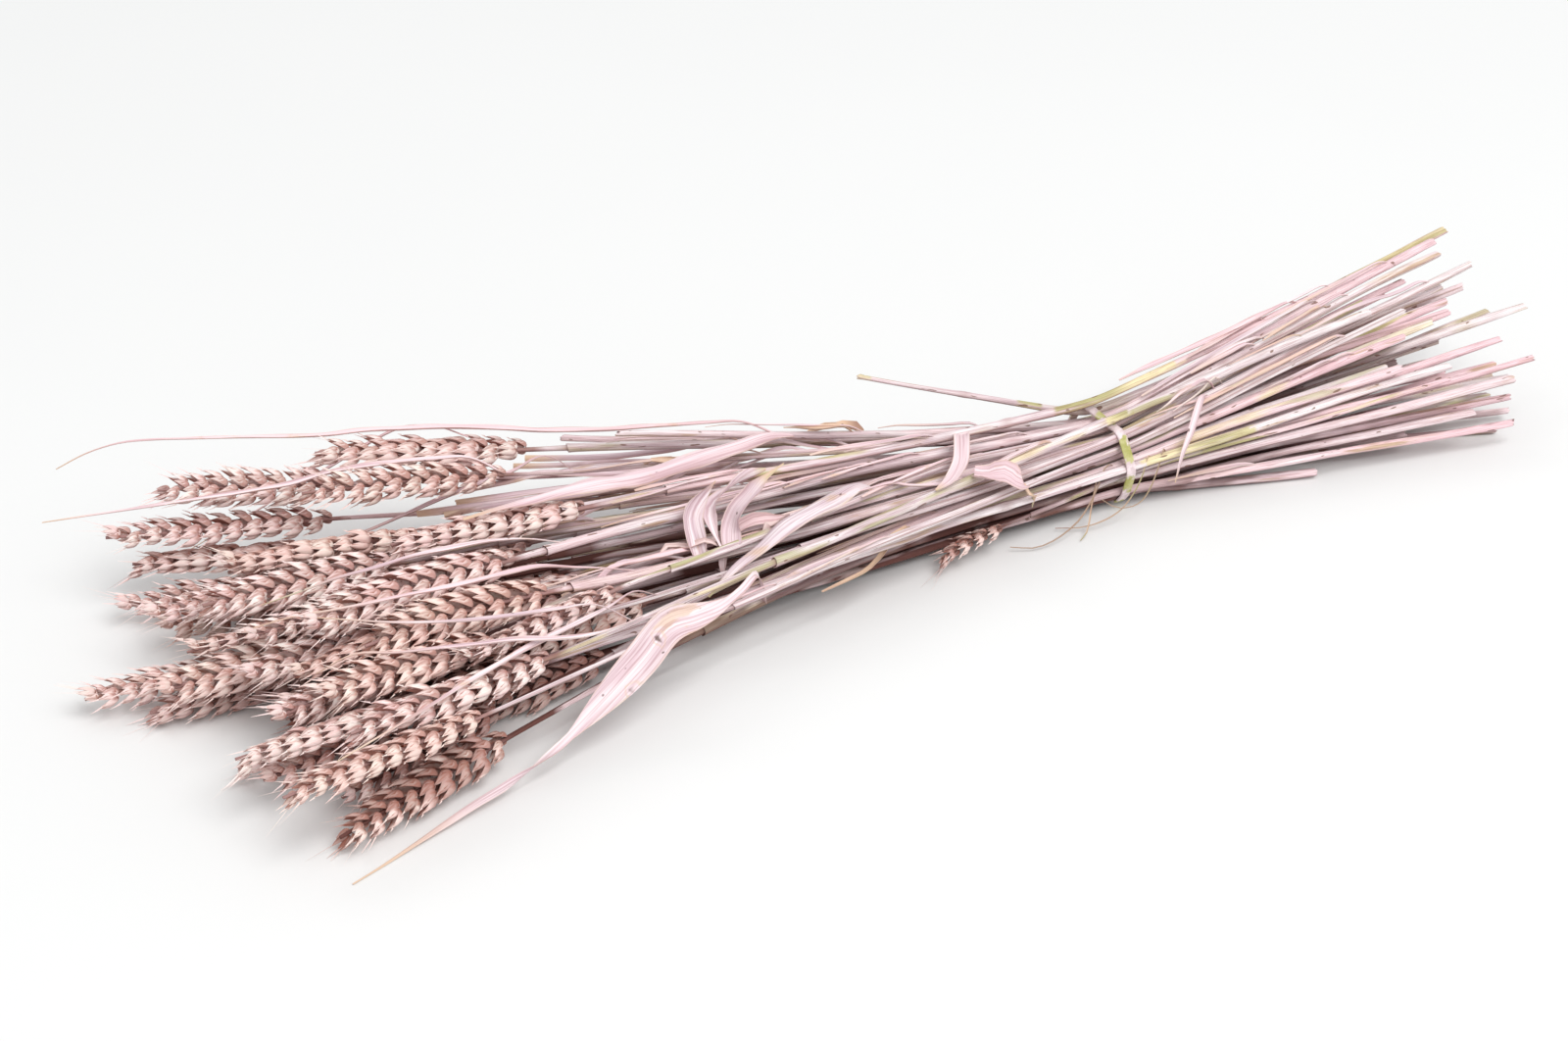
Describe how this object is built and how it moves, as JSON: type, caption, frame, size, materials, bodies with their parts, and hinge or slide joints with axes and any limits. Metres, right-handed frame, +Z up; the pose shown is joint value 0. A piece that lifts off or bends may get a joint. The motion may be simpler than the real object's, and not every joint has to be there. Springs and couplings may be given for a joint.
{
  "type": "bundle of dried wheat",
  "caption": "Bunch of cut dried wheat lying on its side, ears fanned at one end, cut stems at the other, gathered by a narrow band and sprayed matte pink.",
  "frame": {"origin": "on the surface that the bundle lies on, under the middle of its bounding box", "axes": "+X along the bundle towards the cut ends, ears towards -X, +Z up"},
  "size_m": [0.6812, 0.2608, 0.0674],
  "materials": {
    "painted_straw": "matte pink spray paint over dry straw",
    "green_band": "dull olive green"
  },
  "bodies": {
    "root": {"band": "green_band", "stalk_01": "painted_straw", "stalk_02": "painted_straw", "stalk_03": "painted_straw", "stalk_04": "painted_straw", "stalk_05": "painted_straw", "stalk_06": "painted_straw", "stalk_07": "painted_straw", "stalk_08": "painted_straw", "stalk_09": "painted_straw", "stalk_10": "painted_straw", "stalk_11": "painted_straw", "stalk_12": "painted_straw", "stalk_13": "painted_straw", "stalk_14": "painted_straw", "stalk_15": "painted_straw", "stalk_16": "painted_straw", "stalk_17": "painted_straw", "stalk_18": "painted_straw", "stalk_19": "painted_straw", "stalk_20": "painted_straw", "stalk_21": "painted_straw", "stalk_22": "painted_straw", "stalk_23": "painted_straw", "stalk_24": "painted_straw", "stalk_25": "painted_straw", "stalk_26": "painted_straw", "stalk_27": "painted_straw", "stalk_28": "painted_straw", "stalk_29": "painted_straw", "stalk_30": "painted_straw", "stalk_31": "painted_straw", "stalk_32": "painted_straw", "stalk_33": "painted_straw", "stalk_34": "painted_straw", "stalk_35": "painted_straw", "stalk_36": "painted_straw", "stalk_37": "painted_straw", "stalk_38": "painted_straw", "stalk_39": "painted_straw", "stalk_40": "painted_straw", "stalk_41": "painted_straw", "stalk_42": "painted_straw", "stalk_43": "painted_straw", "stalk_44": "painted_straw", "stalk_45": "painted_straw", "stalk_46": "painted_straw", "stalk_47": "painted_straw", "stalk_48": "painted_straw", "stalk_49": "painted_straw", "stalk_50": "painted_straw", "stalk_51": "painted_straw", "stalk_52": "painted_straw", "stalk_53": "painted_straw", "stalk_54": "painted_straw"}
  },
  "joints": []
}
